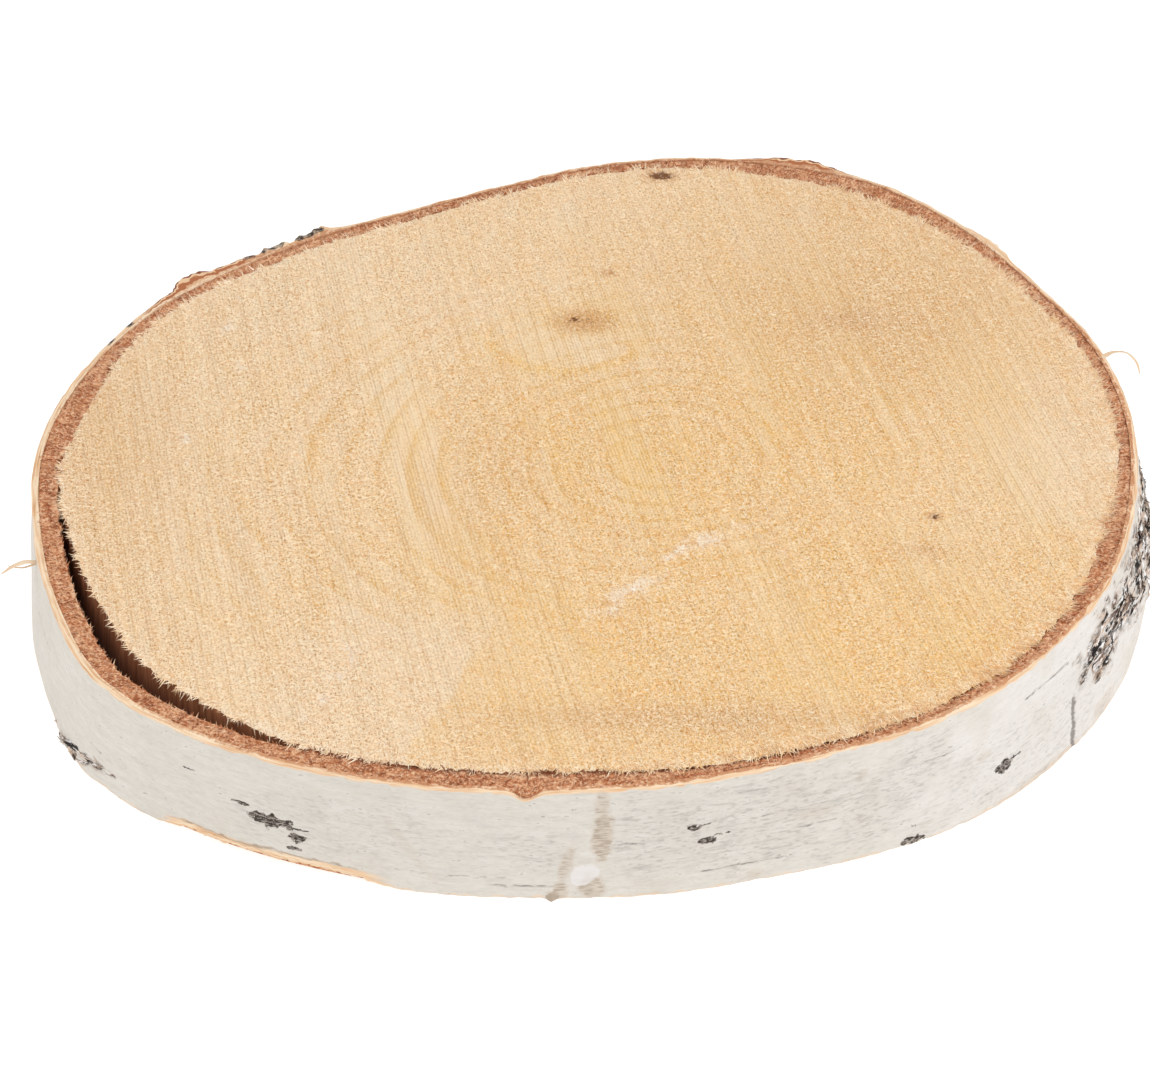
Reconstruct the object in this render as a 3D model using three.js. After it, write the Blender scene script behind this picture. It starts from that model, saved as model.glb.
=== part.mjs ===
// Birch slice: a disc sawn across a birch trunk, with its bark on.
// Millimetres, +Z up. The origin lies on the underside, below the middle of the slice, and -Y is the front.
// Three bodies grow inside each other: the wood, the brown inner bark and the white outer bark.
// At the front left the bark has come away from the wood and leaves an open crack.
import * as THREE from "three";

// Driving dimensions
const THICKNESS = 25; // between the two saw cuts
const OUTER_BARK = 1.4; // white cork sheet
const LAYER_GAP = 0.3; // clearance between one layer and the next
const SEGMENTS = 216; // facets round every outline
const BARK_STEPS = 5; // facets up the outer bark

// Outline of the sawn face, as rows of: bearing from +X in degrees, radius to the bark's outer edge,
// thickness of the inner bark, and how far the wall leans out by the time it reaches the underside.
const OUTLINE = [
  [0, 110.2, 2.6, 3.0],
  [18, 111.7, 2.5, 2.2],
  [32, 112.3, 1.8, 1.6],
  [45, 115.6, 3.0, 1.2],
  [58, 118.5, 4.4, 1.0],
  [70, 116.0, 3.6, 0.8],
  [80, 112.2, 2.0, 0.6],
  [90, 106.9, 1.7, 0.5],
  [102, 100.2, 1.6, 0.5],
  [115, 97.2, 2.0, 0.5],
  [128, 98.3, 2.2, 0.5],
  [148, 103.5, 2.2, 0.8],
  [165, 107.2, 3.0, 1.2],
  [180, 110.2, 3.0, 1.5],
  [195, 112.2, 3.6, 1.6],
  [208, 116.0, 3.6, 1.4],
  [220, 120.0, 3.6, 0.3],
  [233, 118.0, 3.5, -0.4],
  [250, 113.3, 3.8, 0.0],
  [266, 109.6, 3.8, 0.8],
  [283, 108.0, 3.3, 1.3],
  [310, 110.0, 3.2, 3.2],
  [335, 110.4, 2.9, 3.5],
];

// The crack between bark and wood, by bearing: widest nearer its front end, and tapering to both ends.
const CRACK = { from: 176, to: 243, width: 4.9, lateness: 1.65, taper: 1.4 };

// Rough corky plates that stand proud of the outer bark, as rows of:
// bearing of the middle, height of the middle, half width in degrees, half height, greatest relief.
const PLATES = [
  [-13, 12, 20, 13, 2.6],
  [144, 15, 13, 15, 3.6],
  [126, 16, 6, 12, 3.0],
  [65, 17, 6, 13, 2.2],
  [-146, 1, 7, 6, 1.4],
];
const FURROW_DEGREES = 5.5; // spacing of the furrows that split a plate
const FURROW_SLANT = 0.35; // degrees that a furrow drifts for each millimetre of height
const FURROW_DEPTH = 0.45; // share of the relief that a furrow takes away

const BARK_WHITE = new THREE.MeshStandardMaterial({ color: 0xe4e2de, roughness: 0.75, metalness: 0 });
const BAST_BROWN = new THREE.MeshStandardMaterial({ color: 0xa8663f, roughness: 0.9, metalness: 0 });
const WOOD_CREAM = new THREE.MeshStandardMaterial({ color: 0xe3bf88, roughness: 0.85, metalness: 0 });

// A closed curve through the rows of the outline, which carries one more measure as its third coordinate.
function closedCurve(pointOfRow) {
  return new THREE.CatmullRomCurve3(OUTLINE.map(pointOfRow), true, "centripetal");
}

function onBearing([bearing, radius], z) {
  const angle = THREE.MathUtils.degToRad(bearing);
  return new THREE.Vector3(radius * Math.cos(angle), radius * Math.sin(angle), z);
}

function bearingOf(point) {
  return THREE.MathUtils.euclideanModulo(THREE.MathUtils.radToDeg(Math.atan2(point.y, point.x)), 360);
}

// The shorter turn from one bearing to another, between -180 and 180 degrees.
function turnBetween(bearing, other) {
  return THREE.MathUtils.euclideanModulo(bearing - other + 180, 360) - 180;
}

// Evenly spaced samples of the outline: where the bark's outer edge is, and what lies inside it there.
function sampleOutline() {
  const barkCurve = closedCurve((row) => onBearing(row, row[2]));
  const leanCurve = closedCurve((row) => onBearing(row, row[3]));
  return Array.from({ length: SEGMENTS }, (_, i) => {
    const place = barkCurve.getUtoTmapping(i / SEGMENTS);
    const edge = barkCurve.getPoint(place);
    return {
      bearing: bearingOf(edge),
      radius: Math.hypot(edge.x, edge.y),
      innerBark: edge.z,
      lean: leanCurve.getPoint(place).z,
    };
  });
}

function crackWidth(bearing) {
  const share = (bearing - CRACK.from) / (CRACK.to - CRACK.from);
  if (share <= 0 || share >= 1) {
    return 0;
  }
  return CRACK.width * Math.sin(Math.PI * share ** CRACK.lateness) ** CRACK.taper;
}

function dome(offset, reach) {
  const share = offset / reach;
  return Math.max(0, 1 - share * share) ** 2;
}

// How far the corky plates raise the outer bark at a bearing and a height.
function plateRelief(bearing, height) {
  const phase = (bearing + FURROW_SLANT * height) / FURROW_DEGREES;
  const furrow = 1 - FURROW_DEPTH * (0.5 + 0.5 * Math.cos(2 * Math.PI * phase));
  return PLATES.reduce((sum, [middle, level, halfWidth, halfHeight, relief]) => {
    const turn = turnBetween(bearing, middle);
    return sum + relief * furrow * dome(turn, halfWidth) * dome(height - level, halfHeight);
  }, 0);
}

const samples = sampleOutline();

// A closed loop at some depth in from the bark's outer edge, on the upper sawn face.
function loopAtDepth(depthAt) {
  return samples.map((sample) => {
    const angle = THREE.MathUtils.degToRad(sample.bearing);
    const radius = sample.radius - depthAt(sample);
    return new THREE.Vector2(radius * Math.cos(angle), radius * Math.sin(angle));
  });
}

// Extrudes a layer between two depths through the slice, then leans its walls out towards the underside.
function layerGeometry(outerDepth, innerDepth, steps, reliefAt) {
  const shape = new THREE.Shape(loopAtDepth(outerDepth));
  if (innerDepth) {
    shape.holes.push(new THREE.Path(loopAtDepth(innerDepth)));
  }
  const geometry = new THREE.ExtrudeGeometry(shape, { depth: THICKNESS, steps, bevelEnabled: false });
  const position = geometry.getAttribute("position");
  for (let i = 0; i < position.count; i += 1) {
    const point = new THREE.Vector3().fromBufferAttribute(position, i);
    const radius = Math.hypot(point.x, point.y);
    const sample = nearestSample(bearingOf(point));
    const onOuterWall = radius > sample.radius - outerDepth(sample) - OUTER_BARK / 2;
    const relief = reliefAt && onOuterWall ? reliefAt(sample.bearing, point.z) : 0;
    const grown = radius + sample.lean * (1 - point.z / THICKNESS) + relief;
    position.setXY(i, (point.x * grown) / radius, (point.y * grown) / radius);
  }
  return geometry;
}

function nearestSample(bearing) {
  const turnTo = (sample) => Math.abs(turnBetween(bearing, sample.bearing));
  return samples.reduce((best, sample) => (turnTo(sample) < turnTo(best) ? sample : best));
}

function namedMesh(name, geometry, material) {
  const mesh = new THREE.Mesh(geometry, material);
  mesh.name = name;
  return mesh;
}

const underOuterBark = () => OUTER_BARK;
const overInnerBark = () => OUTER_BARK + LAYER_GAP;
const underInnerBark = (sample) => overInnerBark() + sample.innerBark;
const woodEdge = (sample) => underInnerBark(sample) + LAYER_GAP + crackWidth(sample.bearing);

function outerBark() {
  return namedMesh("outer_bark", layerGeometry(() => 0, underOuterBark, BARK_STEPS, plateRelief), BARK_WHITE);
}

function innerBark() {
  return namedMesh("inner_bark", layerGeometry(overInnerBark, underInnerBark, 1), BAST_BROWN);
}

function woodDisc() {
  return namedMesh("wood_disc", layerGeometry(woodEdge, null, 1), WOOD_CREAM);
}

const layers = new THREE.Group();
layers.add(woodDisc(), innerBark(), outerBark());

// The outline is drawn about the trunk's middle, so the layers are moved to stand over the origin.
const box = new THREE.Box3().setFromObject(layers);
const middle = box.getCenter(new THREE.Vector3());
layers.position.set(-middle.x, -middle.y, -box.min.z);

const birchSlice = new THREE.Group();
birchSlice.add(layers);

export default birchSlice;
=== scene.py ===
"""The looks of a birch slice, built on its CAD frame: sawn end grain, brown bast and white bark.

Sizes are in millimetres and bearings in degrees from +X, seen from above, unless a name says otherwise.
Shapes are worked out in millimetres in the frame's own axes, and become metres when a piece is made.
"""
import math

import bpy
import numpy as np
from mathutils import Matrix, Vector


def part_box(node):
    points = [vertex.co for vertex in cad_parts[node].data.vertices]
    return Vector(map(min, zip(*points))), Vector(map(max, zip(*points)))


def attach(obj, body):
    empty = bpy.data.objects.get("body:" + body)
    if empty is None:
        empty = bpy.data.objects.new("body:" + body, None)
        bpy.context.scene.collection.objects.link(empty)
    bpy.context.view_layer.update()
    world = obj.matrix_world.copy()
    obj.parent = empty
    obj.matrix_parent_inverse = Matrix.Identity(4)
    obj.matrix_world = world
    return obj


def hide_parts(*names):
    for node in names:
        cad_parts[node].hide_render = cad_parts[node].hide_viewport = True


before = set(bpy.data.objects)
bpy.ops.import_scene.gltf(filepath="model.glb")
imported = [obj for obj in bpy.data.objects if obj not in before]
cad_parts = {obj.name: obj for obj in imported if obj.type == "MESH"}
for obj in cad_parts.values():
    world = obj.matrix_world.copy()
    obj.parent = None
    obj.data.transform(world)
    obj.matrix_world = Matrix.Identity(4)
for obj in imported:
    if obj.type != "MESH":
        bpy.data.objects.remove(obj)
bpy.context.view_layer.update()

MM = 0.001
TRUNK_MIDDLE = np.array([-0.635, -0.564])  # bearings are taken about this point
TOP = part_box("wood_disc")[1].z / MM  # height of the upper saw cut

# Camera and light
CAMERA_AIM = (-3.06, -11.88, 12.5)
CAMERA_ELEVATION = 36
CAMERA_DISTANCE = 1040
LENS = 162.8
SENSOR_WIDTH = 36
SKY_STRENGTH = 0.62
LAMPS = [("right_soft_box", (950, -400, 1000), 9.0), ("left_soft_box", (-800, -450, 1200), 6.5)]
LAMP_SIZE = 1200
FLOOR_HALF_WIDTH = 3000
FLOOR_GREY = 0.4
FLOOR_GLOW = 0.80
FLOOR_CLEARANCE = 0.2  # keeps the floor just below the slice

# Fineness of the meshes
WOOD_CELLS = 248  # cells across the upper sawn face; the lower one has half as many
INNER_BARK_COLUMNS = 2300
OUTER_BARK_COLUMNS = 1440
WALL_COLUMNS = 1440  # fineness at which the CAD walls are read
FACET_COLUMNS = 7  # how many of those one CAD facet spans
HALF_FACET = 0.5  # in degrees

# Places on the sawn face
PITH = (14.3, -5.1)
RING_SPACING = 5.5
SAW_LINE_TURN = 11.5  # how far the saw lines lean from the Y axis
SAW_LINE_SPREAD = 0.0005  # how that lean grows towards the right, for each millimetre


def smoothstep(low, high, values):
    share = np.clip((values - low) / (high - low), 0, 1)
    return share * share * (3 - 2 * share)


def lattice_value(ix, iy, iz, seed):
    """A fixed random number from -1 to 1 for each point of a whole-numbered lattice."""
    mixed = (ix * 374761393 + iy * 668265263 + iz * 2246822519 + seed * 1274126177) & 0xFFFFFFFF
    mixed = ((mixed ^ (mixed >> 13)) * 1274126177) & 0xFFFFFFFF
    return ((mixed ^ (mixed >> 16)) & 0xFFFF) / 32767.5 - 1


def noise(points, cell, seed, octaves=1):
    """Smooth noise from about -1 to 1, with lumps as wide as the cell, which may be a size for each axis."""
    scaled = points / np.asarray(cell, float)
    total = np.zeros(points.shape[:-1])
    for octave in range(octaves):
        at = scaled * 2 ** octave + 17.3 * octave
        low = np.floor(at).astype(np.int64)
        part = at - low
        part = part * part * (3 - 2 * part)
        layer = np.zeros_like(total)
        for corner in np.ndindex(2, 2, 2):
            weight = np.prod(np.where(corner, part, 1 - part), axis=-1)
            layer += weight * lattice_value(*np.moveaxis(low + corner, -1, 0), seed + octave)
        total += layer / 2 ** octave
    return total


def turn_between(bearing, other):
    """The shorter turn from one bearing to another, between -180 and 180 degrees."""
    return (bearing - other + 180) % 360 - 180


def on_bearing(radius, bearing, height):
    """Points in the frame at a radius and bearing about the trunk's middle."""
    angle = np.radians(bearing)
    x = TRUNK_MIDDLE[0] + radius * np.cos(angle)
    y = TRUNK_MIDDLE[1] + radius * np.sin(angle)
    return np.stack(np.broadcast_arrays(x, y, height), axis=-1)


def running_mean(values, reach):
    """A mean over neighbours on a closed loop, taken twice, which rounds off the CAD facets."""
    for _ in range(2):
        values = sum(np.roll(values, shift) for shift in range(-reach, reach + 1)) / (2 * reach + 1)
    return values


def cad_wall(node, extreme):
    """A node's outer or inner wall, as a function that gives its radius by height and bearing."""
    points = np.array([vertex.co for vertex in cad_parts[node].data.vertices]) / MM
    across = points[:, :2] - TRUNK_MIDDLE
    bearing = (np.degrees(np.arctan2(across[:, 1], across[:, 0])) + HALF_FACET) % 360 - HALF_FACET
    radius = np.hypot(across[:, 0], across[:, 1])
    level = points[:, 2].round(1)
    heights = np.unique(level)
    columns = np.arange(WALL_COLUMNS) * 360 / WALL_COLUMNS
    table = []
    for height in heights:
        order = np.flatnonzero(level == height)
        order = order[np.argsort(bearing[order])]
        starts = np.flatnonzero(np.diff(bearing[order], prepend=-360) > HALF_FACET)
        widest = extreme.reduceat(radius[order], starts)
        row = np.interp(columns, bearing[order][starts], widest, period=360)
        table.append(running_mean(row, FACET_COLUMNS // 2))

    def radius_at(height, bearing):
        height, bearing = np.broadcast_arrays(np.asarray(height, float), np.asarray(bearing, float))
        rows = np.stack([np.interp(bearing, columns, row, period=360) for row in table])
        step = np.interp(height, heights, np.arange(len(heights)))
        low = np.minimum(step.astype(int), len(heights) - 2)
        lower = np.take_along_axis(rows, low[None], 0)[0]
        upper = np.take_along_axis(rows, low[None] + 1, 0)[0]
        return lower + (upper - lower) * (step - low)

    return radius_at


wood_edge = cad_wall("wood_disc", np.maximum)
bast_outside = cad_wall("inner_bark", np.maximum)
bast_inside = cad_wall("inner_bark", np.minimum)
bark_outside = cad_wall("outer_bark", np.maximum)
bark_inside = cad_wall("outer_bark", np.minimum)


# Pieces and meshes

def make_piece(name, vertices, faces, materials, attributes, face_materials=None):
    """A smooth mesh from millimetres, with sharp edges kept and a value for each point in each attribute."""
    mesh = bpy.data.meshes.new(name)
    mesh.from_pydata((vertices * MM).tolist(), [], faces)
    mesh.shade_smooth()
    mesh.set_sharp_from_angle(angle=math.radians(55))
    for material in materials:
        mesh.materials.append(material)
    if face_materials is not None:
        mesh.polygons.foreach_set("material_index", np.asarray(face_materials, np.int32))
    for label, values in attributes.items():
        layer = mesh.attributes.new(label, "FLOAT", "POINT")
        layer.data.foreach_set("value", np.asarray(values, np.float32).ravel())
    piece = bpy.data.objects.new(name, mesh)
    bpy.context.scene.collection.objects.link(piece)
    return piece


def ring_faces(rows, columns):
    """Quads of a closed ring: rows run round its section, anticlockwise with the trunk on the left."""
    index = np.arange(rows * columns).reshape(rows, columns)
    onward = np.roll(index, -1, axis=1)
    corners = [index, onward, np.roll(onward, -1, axis=0), np.roll(index, -1, axis=0)]
    return np.stack(corners, -1).reshape(-1, 4)


def square_on_disc(cells):
    """A square grid wrapped to a disc: shares of the radius, bearings, the quads and the rim."""
    line = np.linspace(-1, 1, cells + 1)
    x, y = np.meshgrid(line, line)
    wide = np.abs(x) > np.abs(y)
    longer = np.where(wide, x, y)
    safe = np.where(longer == 0, 1, longer)
    bearing = np.where(wide, 45 * y / safe, 90 - 45 * x / safe) + np.where(longer < 0, 180, 0)
    index = np.arange((cells + 1) ** 2).reshape(cells + 1, cells + 1)
    quads = np.stack([index[:-1, :-1], index[:-1, 1:], index[1:, 1:], index[1:, :-1]], -1).reshape(-1, 4)
    rim = np.concatenate([index[0, :-1], index[:-1, -1], index[-1, :0:-1], index[:0:-1, 0]])
    return np.abs(longer).ravel(), bearing.ravel() % 360, quads, rim


# Colour zones of the sawn face, as rows of: middle x, middle y, half width, half depth, strength
HONEY_ZONES = [
    (26, 4, 56, 42, 0.54),  # the heart of the trunk
    (62, -62, 70, 46, 0.30),  # front right
    (14, -80, 50, 36, 0.52),  # front
    (56, 58, 46, 46, 0.38),  # back right
    (-2, 46, 10, 7, 0.65),  # round the knot
    (-34, -2, 34, 40, 0.16),
    (-10, 0, 22, 46, 0.16),
    (-25, -46, 22, 18, 0.18),
    (78, -66, 30, 28, 0.32),
    (72, 6, 28, 26, 0.08),
]
PALE_ZONES = [
    (-5, 40, 16, 13, 0.12),  # smooth oval round the knot
    (-60, 62, 45, 40, 0.20),
    (102, 10, 16, 40, 0.30),
]
DUSKY_ZONES = [
    (58, 62, 42, 42, 0.60),  # back right
    (-97, -2, 16, 46, 0.45),  # along the left rim
    (20, -88, 34, 5, 0.80),  # band near the front rim
    (54, 46, 9, 4, 0.55),
    (65, -35, 5, 4, 0.45),
    (-20, -6, 10, 26, 0.25),
]
KNOTS = [
    (-1.0, 45.5, 8.0, 5.6, 0.80),  # a rough knot and its dark middle
    (-3.4, 46.2, 1.0, 0.9, 0.50),
    (3.9, 63.8, 2.4, 1.8, 0.80),
    (15.6, 102.0, 3.6, 2.2, 1.50),
    (67.8, -23.9, 1.5, 1.5, 1.30),
    (53.6, 46.0, 3.6, 1.8, 0.45),
    (65.2, -34.9, 2.6, 2.0, 0.45),
]
RING_ZONES = [
    (14, -5, 52, 46, 1.00),  # round the pith
    (-48, -12, 34, 60, 0.75),  # left
    (40, 20, 40, 40, 0.40),
]
KNOT_SMOOTH = (-5, 40, 17, 13, 0.90)  # the smooth face round the knot, as a zone
KNOT_OVAL = (-5, 40, 16, 13)  # middle and half sizes of the honey-coloured line round that face
# Bands that the saw left smooth: distance across the saw lines, half width, middle y, half length, strength
SAW_BANDS = [
    (7, 4.5, -2, 38, 0.8),
    (-35, 6, -6, 52, 0.8),
    (-90, 9, 0, 54, 0.5),
    (83, 8, 8, 48, 0.5),
    (-42, 6, 60, 40, 0.5),
    (40, 5, 40, 44, 0.4),
]
# A pale tongue at the front left, which ends on its right in a clean edge
TONGUE_EDGE = ((-13.7, -44.7), (-33.6, -97.6))
TONGUE_WIDTH = 40
# Where the saw tore up bright tufts: the line that they follow, and its half width
TUFT_LINES = [
    (((-45.8, -67.1), (-49.0, -77.0), (-52.5, -88.6)), 1.8),
    (((1.7, -54.4), (9.5, -46.3), (14.4, -38.2), (19.4, -33.2), (24.0, -31.0)), 2.4),
    (((29.4, -24.9), (32.0, -30.0), (36.0, -35.5)), 1.6),
    (((-81.5, 8.0), (-80.5, -12.0)), 0.9),
    (((-76.0, 48.0), (-71.0, 27.0)), 0.9),
]


def zone_sum(zones, x, y):
    total = np.zeros_like(x)
    for middle_x, middle_y, half_width, half_depth, strength in zones:
        total += strength * np.exp(-((x - middle_x) / half_width) ** 2 - ((y - middle_y) / half_depth) ** 2)
    return total


def flat_noise(x, y, cell, seed, octaves=1):
    return noise(np.stack([x, y, np.zeros_like(x)], -1), (*np.broadcast_to(cell, 2), 1), seed, octaves)


def tongue(x, y):
    """How pale the tongue at the front left is at a point."""
    (x0, y0), (x1, y1) = TONGUE_EDGE
    length = math.hypot(x1 - x0, y1 - y0)
    along = ((x - x0) * (x1 - x0) + (y - y0) * (y1 - y0)) / length
    beside = ((x - x0) * (y1 - y0) - (y - y0) * (x1 - x0)) / length
    inside = smoothstep(-0.8, 1.2, beside + 1.6 * flat_noise(x, y, 9, 31, 2))
    return inside * (1 - smoothstep(6, TONGUE_WIDTH, beside)) * smoothstep(6, 46, along)


def face_tints(x, y):
    """How honey-coloured and how dusky the sawn face is at a point, each from 0 to about 1."""
    broad = flat_noise(x, y, 34, 7, 2)
    pale = zone_sum(PALE_ZONES, x, y) + tongue(x, y)
    streaks = flat_noise(saw_lines(x, y), y, (6, 18), 8, 2)
    zones = zone_sum(HONEY_ZONES, x, y) * (1 - 0.95 * tongue(x, y))
    honey = 0.20 + 0.06 * broad + 0.14 * streaks + zones - pale
    middle_x, middle_y, half_width, half_depth = KNOT_OVAL
    reach = np.hypot((x - middle_x) / half_width, (y - middle_y) / half_depth)
    honey += 0.60 * np.exp(-((reach - 1) / 0.11) ** 2) * smoothstep(10, -10, y - middle_y)
    honey += 0.35 * (nap(x, y) - 0.86)
    dusky = zone_sum(DUSKY_ZONES, x, y) * (1 + 0.4 * broad) * (1 - tongue(x, y))
    return np.clip(honey, 0, 1.3), np.clip(dusky, 0, 1)


def saw_lines(x, y):
    """How far across the saw lines a point lies; they lean more towards the right."""
    lean = math.radians(SAW_LINE_TURN)
    return x * math.cos(lean) + y * math.sin(lean) + SAW_LINE_SPREAD * x * y


def nap(x, y):
    """How thickly torn fibres stand on the sawn face: thin in the smooth bands that the saw left."""
    bands = flat_noise(saw_lines(x, y), y, (9, 70), 3, 2)
    late = zone_sum(RING_ZONES, x, y) * np.sin(2 * np.pi * (rings_out(x, y) - 0.35))
    rough = smoothstep(-1.0, 0.5, bands + 0.30 * late + 0.5 * flat_noise(x, y, 6, 38, 2))
    smooth = zone_sum([KNOT_SMOOTH], x, y)
    for middle, half_width, middle_y, half_length, strength in SAW_BANDS:
        off = np.abs(saw_lines(x, y) - middle) + 0.8 * flat_noise(x, y, 5, 39, 2)
        ends = smoothstep(1.1, 0.2, np.abs(y - middle_y) / half_length)
        smooth += strength * ends * smoothstep(1.5, 0.6, off / half_width)
    return (0.68 + 0.32 * rough) * (1 - 0.6 * np.clip(smooth, 0, 1))


def rings_out(x, y):
    """How many rings a point lies from the pith: round at the heart, shaped like the trunk near the bark."""
    bearing = np.arange(720) / 2
    rim = on_bearing(wood_edge(TOP, bearing), bearing, TOP)[:, :2] - PITH
    reach = np.hypot(rim[:, 0], rim[:, 1])
    way = np.degrees(np.arctan2(rim[:, 1], rim[:, 0]))
    out = np.hypot(x - PITH[0], y - PITH[1])
    span = np.interp(np.degrees(np.arctan2(y - PITH[1], x - PITH[0])), *sorted_loop(way, reach), period=360)
    shaped = out * reach.mean() / (reach.mean() + (span - reach.mean()) * np.clip(out / span, 0, 1))
    return (shaped + 1.6 * flat_noise(x, y, 22, 33, 2)) / RING_SPACING


def tufts(x, y):
    """Where the saw tore up bright tufts of fibre."""
    total = np.zeros_like(x)
    for line, half_width in TUFT_LINES:
        for (x0, y0), (x1, y1) in zip(line, line[1:]):
            length = math.hypot(x1 - x0, y1 - y0)
            along = np.clip(((x - x0) * (x1 - x0) + (y - y0) * (y1 - y0)) / length ** 2, 0, 1)
            off = np.hypot(x - x0 - along * (x1 - x0), y - y0 - along * (y1 - y0))
            total = np.maximum(total, np.exp(-(off / half_width) ** 2))
    return total * smoothstep(-0.2, 0.8, flat_noise(x, y, 2.5, 35, 2))


COMB_BEARING = -45  # fibres lie over the bast like a comb about here
# Where torn wood lies out over the bast, or the bast lies in over the wood, as rows of:
# bearing, half width in degrees, and how far the wood reaches out
WOOD_LIPS = [(-55, 27, 1.5), (8, 17, 0.8), (173, 8, -1.6)]
WOOD_WALL_HEIGHTS = np.array([24.5, 23.6, 22.4, 21, 19, 16.5, 14, 11, 8, 5, 2.5, 0.8])


def lip(bearing):
    """How far torn wood lies out over the bast at a bearing; below zero, the bast lies in over the wood."""
    reach = np.zeros_like(bearing)
    for middle, half_width, most in WOOD_LIPS:
        reach = reach + most * smoothstep(1.3, 0.6, np.abs(turn_between(bearing, middle)) / half_width)
    return reach


def wood_disc(face_finish, wall_finish):
    """The wood: two sawn faces and the brown, ribbed wall between them."""
    share, bearing, quads, rim = square_on_disc(WOOD_CELLS)
    rim_bearing = bearing[rim]
    loop = on_bearing(wood_edge(TOP, rim_bearing), rim_bearing, TOP)
    ragged = 0.40 * noise(loop, 1.3, 11, 2) + lip(rim_bearing) * (1 + 0.35 * noise(loop, 1.6, 41, 2))
    edge_wear = smoothstep(0.985, 1, share)
    rough_rim = np.interp(bearing, *sorted_loop(rim_bearing, ragged), period=360)
    top = on_bearing(share * wood_edge(TOP, bearing) + edge_wear * rough_rim, bearing, TOP)
    uneven = 0.10 * noise(top, 26, 5, 2) + 0.05 * noise(top, (3, 40, 9), 6)
    top[:, 2] += uneven - 0.18 * edge_wear * (1 + noise(top, 1.8, 12))
    rows = []
    for height in WOOD_WALL_HEIGHTS:
        ribs = on_bearing(wood_edge(height, rim_bearing), rim_bearing, height)
        depth = 0.28 * noise(ribs, (1.6, 1.6, 30), 13, 2) + ragged * smoothstep(18, TOP, height)
        rows.append(on_bearing(wood_edge(height, rim_bearing) + depth, rim_bearing, height))
    low_share, low_bearing, low_quads, low_rim = square_on_disc(WOOD_CELLS // 2)
    bottom = on_bearing(low_share * wood_edge(0, low_bearing), low_bearing, 0.0)
    vertices = np.concatenate([top, *rows, bottom])

    around = len(rim)
    wall = [rim] + [len(top) + row * around + np.arange(around) for row in range(len(rows))]
    wall_quads = [np.stack([lower, np.roll(lower, -1), np.roll(upper, -1), upper], -1)
                  for upper, lower in zip(wall, wall[1:])]
    first_low = len(top) + len(rows) * around
    foot = first_low + low_rim
    last = wall[-1]
    seam = [np.stack([foot, np.roll(foot, -1), last[1::2]], -1),
            np.stack([foot, last[1::2], last[0::2]], -1),
            np.stack([np.roll(foot, -1), np.roll(last, -2)[0::2], last[1::2]], -1)]
    faces = [quads, *wall_quads, *seam, first_low + low_quads[:, ::-1]]
    finishes = np.concatenate([np.full(len(part), int(0 < number < len(faces) - 1))
                               for number, part in enumerate(faces)])
    x, y = vertices[:, 0], vertices[:, 1]
    honey, dusky = face_tints(x, y)
    on_top = np.arange(len(vertices)) < len(top)
    way_out = np.degrees(np.arctan2(y - TRUNK_MIDDLE[1], x - TRUNK_MIDDLE[0]))
    padded_share = np.pad(share, (0, len(vertices) - len(share)))
    cover = nap(x, y)
    at_left = smoothstep(-10, -60, x)
    clumps = smoothstep(-0.3, 0.5, noise(vertices, 2.2, 36, 2))
    fray = smoothstep(0.986, 0.997, padded_share) * on_top * clumps
    combed = smoothstep(62, 40, np.abs(turn_between(way_out, COMB_BEARING)))
    attributes = {
        "honey": honey,
        "dusky": dusky,
        "nap": cover * (1 + 0.15 * at_left),
        "bare": np.clip(1.38 - 0.76 * cover + 0.3 * at_left, 0, 1),
        "stand": smoothstep(0.5, 0.95, cover) * on_top,
        "bristle": smoothstep(0.90, 0.97, padded_share) * on_top * (0.3 + 0.7 * clumps),
        "ring": rings_out(x, y),
        "ring_clear": zone_sum(RING_ZONES, x, y) * (0.75 + 0.5 * flat_noise(x, y, 15, 34, 2)),
        "saw": saw_lines(x, y),
        "knot": zone_sum(KNOTS, x, y),
        "tuft": tufts(x, y) * on_top,
        "pale_rim": smoothstep(0.97, 0.995, padded_share) * on_top,
        "fray": fray,
        "comb": fray * (0.15 + 0.85 * combed),
        "heading": np.radians(way_out + 90),
    }
    every_face = [face for part in faces for face in part.tolist()]
    return make_piece("wood", vertices, every_face, [face_finish, wall_finish], attributes, finishes)


def sorted_loop(bearing, values):
    order = np.argsort(bearing)
    return bearing[order], values[order]


def ring_section(outer_heights, top_steps, inner_heights, bottom_steps):
    """A ring's section as shares of its thickness, from 0 inside to 1 outside, and heights."""
    share = np.concatenate([np.ones(len(outer_heights)), np.linspace(1, 0, top_steps + 2)[1:-1],
                            np.zeros(len(inner_heights)), np.linspace(0, 1, bottom_steps + 2)[1:-1]])
    height = np.concatenate([outer_heights, np.full(top_steps, TOP),
                             inner_heights[::-1], np.zeros(bottom_steps)])
    return share[:, None], height[:, None]


# Painted shade along the seam between bast and wood is strongest at these places
SHADED_SEAMS = [(-105, 46), (173, 9)]  # where the seam between bast and wood is dark: bearing and half width
BAST_OVERLAP = 0.22  # how far the bast reaches under the white bark
BAST_HOLD = 0.6  # how far it reaches in where it holds to the wood
NICK = (-96, 1.2, 1.8)  # a nick in the bark's top edge: bearing, half width in degrees, depth


def nick(bearing):
    """How deep the nick in the top edge is at a bearing, as a share of its depth."""
    middle, half_width, _ = NICK
    return np.exp(-(turn_between(bearing, middle) / half_width) ** 2)


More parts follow.
